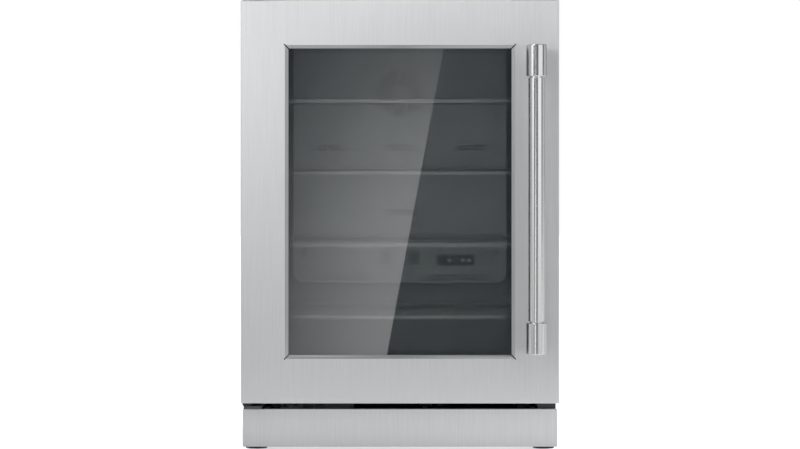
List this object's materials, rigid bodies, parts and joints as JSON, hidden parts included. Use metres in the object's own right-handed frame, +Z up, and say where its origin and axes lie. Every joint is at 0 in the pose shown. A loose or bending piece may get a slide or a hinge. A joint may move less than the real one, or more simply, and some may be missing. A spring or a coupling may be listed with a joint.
{
  "type": "undercounter refrigerator",
  "caption": "Built-in undercounter refrigerator with a framed glass door, a vertical bar handle, glass shelves, a rear air duct with fan, a sealed cooling unit and a toe kick.",
  "frame": {"origin": "centre of the bounding box's bottom face, on the floor under the levelling legs", "axes": "+Z up; -Y is the front, where the door and its handle are; +X is the handle's side, and the door's hinges are at -X"},
  "size_m": [0.606, 0.6699, 0.867],
  "materials": {
    "black_plastic": "moulded black",
    "brushed_stainless": "vertical brushed grain",
    "button_plastic": "satin grey",
    "case_paint": "powder coated charcoal grey",
    "clear_glass": "clear tempered",
    "coil_aluminium": "bare tube and fin",
    "compressor_paint": "gloss black",
    "copper": "bare copper pipe",
    "cover_plastic": "fine satin, dark grey",
    "fascia_plastic": "glossy black",
    "foam": "rigid polyurethane foam, in place in sealed walls",
    "galvanised": "galvanised sheet",
    "gasket_rubber": "soft extrusion, dark grey",
    "liner_plastic": "fine satin, dark grey",
    "polished_stainless": "polished",
    "rubber_black": "moulded",
    "tinted_glass": "grey tinted, low emissivity coating",
    "trim_aluminium": "satin anodised",
    "white_lens": "opal",
    "zinc_screw": "zinc plated"
  },
  "bodies": {
    "cabinet": {"back_panel": "galvanised", "base_tray": "galvanised", "case_screws": "zinc_screw", "compressor": "compressor_paint", "compressor_grommets": "rubber_black", "condenser_coil": "coil_aluminium", "condenser_fan_mount": "galvanised", "control_fascia": "fascia_plastic", "cord_gland": "rubber_black", "counter_strap": "galvanised", "drain_tube": "black_plastic", "duct_cover": "cover_plastic", "duct_cover_screws": "zinc_screw", "evaporation_pan": "black_plastic", "evaporator_coil": "coil_aluminium", "evaporator_fan_motor": "galvanised", "foam_insulation": "foam", "front_posts": "case_paint", "hinge_pins": "zinc_screw", "inner_liner": "liner_plastic", "kick_plate": "brushed_stainless", "left_side_panel": "case_paint", "light_housing": "liner_plastic", "light_lens": "white_lens", "lower_hinge_bracket": "case_paint", "machine_cover": "galvanised", "refrigerant_lines": "copper", "right_side_panel": "case_paint", "shelf_rails": "liner_plastic", "top_panel": "case_paint", "underside_panel": "galvanised", "upper_hinge_bracket": "galvanised"},
    "door": {"door_skin": "brushed_stainless", "window_trim": "brushed_stainless", "outer_glass": "tinted_glass", "glass_spacer": "black_plastic", "inner_glass": "clear_glass", "door_insulation": "foam", "door_inner_frame": "black_plastic", "door_gasket": "gasket_rubber", "handle_bar": "polished_stainless", "handle_mounts": "polished_stainless", "hinge_bushes": "black_plastic"},
    "evaporator_fan": {"evaporator_fan": "black_plastic"},
    "condenser_fan": {"condenser_fan": "black_plastic"},
    "shelf_1": {"shelf_1_glass": "clear_glass", "shelf_1_trims": "trim_aluminium"},
    "shelf_2": {"shelf_2_glass": "clear_glass", "shelf_2_trims": "trim_aluminium"},
    "shelf_3": {"shelf_3_glass": "clear_glass", "shelf_3_trims": "trim_aluminium"},
    "shelf_4": {"shelf_4_glass": "clear_glass", "shelf_4_trims": "trim_aluminium"},
    "leg_front_left": {"leg_front_left": "black_plastic"},
    "leg_front_right": {"leg_front_right": "black_plastic"},
    "leg_rear_left": {"leg_rear_left": "black_plastic"},
    "leg_rear_right": {"leg_rear_right": "black_plastic"},
    "button_power": {"button_power": "button_plastic"},
    "button_colder": {"button_colder": "button_plastic"},
    "button_warmer": {"button_warmer": "button_plastic"}
  },
  "joints": [
    {"name": "door_hinge", "type": "hinge", "parent": "cabinet", "child": "door", "pos_m": [-0.291, -0.253, 0], "axis": [0, 0, -1], "range_deg": [0, 110]},
    {"name": "shelf_1_slide", "type": "slide", "parent": "cabinet", "child": "shelf_1", "axis": [0, -1, 0], "range_m": [0, 0.02]},
    {"name": "shelf_2_slide", "type": "slide", "parent": "cabinet", "child": "shelf_2", "axis": [0, -1, 0], "range_m": [0, 0.02]},
    {"name": "shelf_3_slide", "type": "slide", "parent": "cabinet", "child": "shelf_3", "axis": [0, -1, 0], "range_m": [0, 0.02]},
    {"name": "shelf_4_slide", "type": "slide", "parent": "cabinet", "child": "shelf_4", "axis": [0, -1, 0], "range_m": [0, 0.02]},
    {"name": "evaporator_fan_spin", "type": "hinge", "parent": "cabinet", "child": "evaporator_fan", "pos_m": [0, 0.214, 0.6927], "axis": [0, 1, 0], "continuous": true},
    {"name": "condenser_fan_spin", "type": "hinge", "parent": "cabinet", "child": "condenser_fan", "pos_m": [-0.165, 0.246, 0.112], "axis": [1, 0, 0], "continuous": true},
    {"name": "leg_front_left_screw", "type": "slide", "parent": "cabinet", "child": "leg_front_left", "axis": [0, 0, -1], "range_m": [0, 0.025]},
    {"name": "leg_front_right_screw", "type": "slide", "parent": "cabinet", "child": "leg_front_right", "axis": [0, 0, -1], "range_m": [0, 0.025]},
    {"name": "leg_rear_left_screw", "type": "slide", "parent": "cabinet", "child": "leg_rear_left", "axis": [0, 0, -1], "range_m": [0, 0.025]},
    {"name": "leg_rear_right_screw", "type": "slide", "parent": "cabinet", "child": "leg_rear_right", "axis": [0, 0, -1], "range_m": [0, 0.025]},
    {"name": "button_power_press", "type": "slide", "parent": "cabinet", "child": "button_power", "axis": [0, 1, 0], "range_m": [0, 0.0008], "stiffness_N_per_m": 900, "springref_m": -0.0005},
    {"name": "button_colder_press", "type": "slide", "parent": "cabinet", "child": "button_colder", "axis": [0, 1, 0], "range_m": [0, 0.0008], "stiffness_N_per_m": 900, "springref_m": -0.0005},
    {"name": "button_warmer_press", "type": "slide", "parent": "cabinet", "child": "button_warmer", "axis": [0, 1, 0], "range_m": [0, 0.0008], "stiffness_N_per_m": 900, "springref_m": -0.0005}
  ]
}
